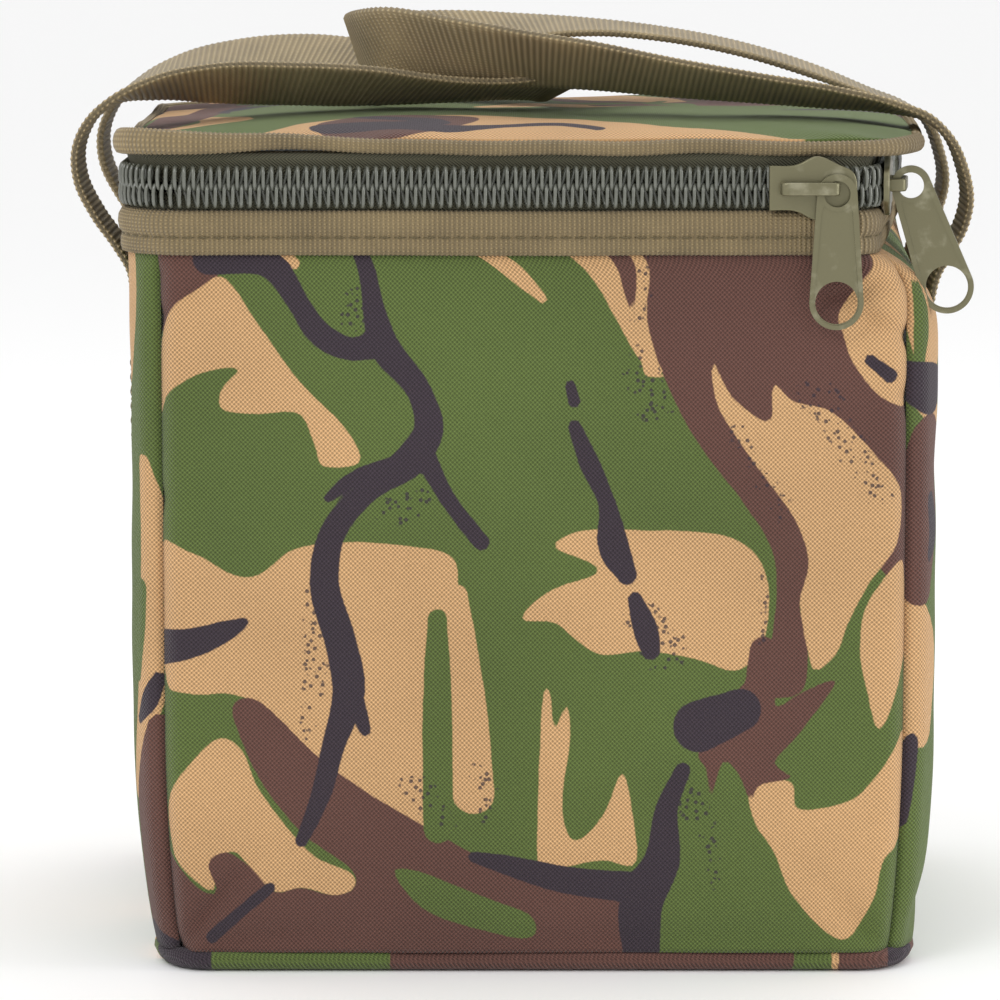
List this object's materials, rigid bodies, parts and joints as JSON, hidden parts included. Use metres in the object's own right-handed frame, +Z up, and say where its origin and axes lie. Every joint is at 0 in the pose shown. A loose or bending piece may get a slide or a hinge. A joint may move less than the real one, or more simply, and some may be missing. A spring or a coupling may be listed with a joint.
{
  "type": "insulated cooler bag",
  "caption": "Box-shaped insulated cooler bag in camouflage fabric, with a zipped lid hinged at the back, bound edges and two webbing carry handles.",
  "frame": {"origin": "middle of the underside, on the surface that the bag stands on", "axes": "+Z up, -Y to the front of the bag where the zip crosses, +X to the right hand of someone facing the front"},
  "size_m": [0.2274, 0.1745, 0.2435],
  "materials": {
    "camo_fabric": "coated woven polyester printed with a green, brown, tan and dark disruptive pattern",
    "foam": "closed-cell foam sheet",
    "lining": "silver-grey welded film",
    "binding_tape": "ribbed khaki grosgrain",
    "zip_tape": "herringbone woven tape, dark olive",
    "zip_coil": "glossy nylon monofilament",
    "webbing": "ribbed khaki webbing",
    "olive_metal": "satin olive enamel on cast zinc"
  },
  "bodies": {
    "shell": {"base_panel": "camo_fabric", "front_panel": "camo_fabric", "back_panel": "camo_fabric", "left_side_panel": "camo_fabric", "right_side_panel": "camo_fabric", "base_foam": "foam", "front_foam": "foam", "back_foam": "foam", "left_foam": "foam", "right_foam": "foam", "body_lining": "lining", "body_binding": "binding_tape", "body_inner_binding": "binding_tape", "zip_tape_lower": "zip_tape", "zip_coil_lower": "zip_coil", "zip_end_tabs": "binding_tape", "hinge_fabric_body": "binding_tape", "handle_left_ends": "webbing", "handle_right_ends": "webbing", "side_webbing_loop": "webbing"},
    "lid": {"lid_top_panel": "camo_fabric", "lid_foam": "foam", "lid_lining": "lining", "lid_binding": "binding_tape", "lid_inner_binding": "binding_tape", "zip_tape_upper": "zip_tape", "zip_coil_upper": "zip_coil", "hinge_fabric_lid": "binding_tape"},
    "slider_front": {"slider_front_body": "olive_metal"},
    "pull_front": {"pull_front": "olive_metal"},
    "slider_side": {"slider_side_body": "olive_metal"},
    "pull_side": {"pull_side": "olive_metal"},
    "handle_left": {"handle_left_loop": "webbing"},
    "handle_right": {"handle_right_loop": "webbing"}
  },
  "joints": [
    {"name": "lid_hinge", "type": "hinge", "parent": "shell", "child": "lid", "pos_m": [0, 0.0839, 0.1965], "axis": [-1, 0, 0], "range_deg": [0, 110], "deforming": ["handle_left_loop", "handle_right_loop"]},
    {"name": "handle_left_swing", "type": "hinge", "parent": "shell", "child": "handle_left", "pos_m": [-0.1127, 0, 0.2105], "axis": [0, -1, 0], "range_deg": [0, 100], "deforming": ["handle_right_loop"]},
    {"name": "handle_right_swing", "type": "hinge", "parent": "shell", "child": "handle_right", "pos_m": [0.1056, 0, 0.2056], "axis": [0, 1, 0], "range_deg": [0, 100]},
    {"name": "slider_front_slide", "type": "slide", "parent": "shell", "child": "slider_front", "axis": [-1, 0, 0], "range_m": [0, 0.135]},
    {"name": "slider_side_slide", "type": "slide", "parent": "shell", "child": "slider_side", "axis": [0.1078, 0.9942, 0], "range_m": [0, 0.118], "deforming": ["handle_right_ends"]},
    {"name": "pull_front_swing", "type": "hinge", "parent": "slider_front", "child": "pull_front", "pos_m": [0.07395, -0.0882, 0.1952], "axis": [0, -1, 0], "range_deg": [-45, 120]},
    {"name": "pull_side_swing", "type": "hinge", "parent": "slider_side", "child": "pull_side", "pos_m": [0.09309, -0.07293, 0.1963], "axis": [-0.1078, -0.9942, 0], "range_deg": [0, 105]}
  ]
}
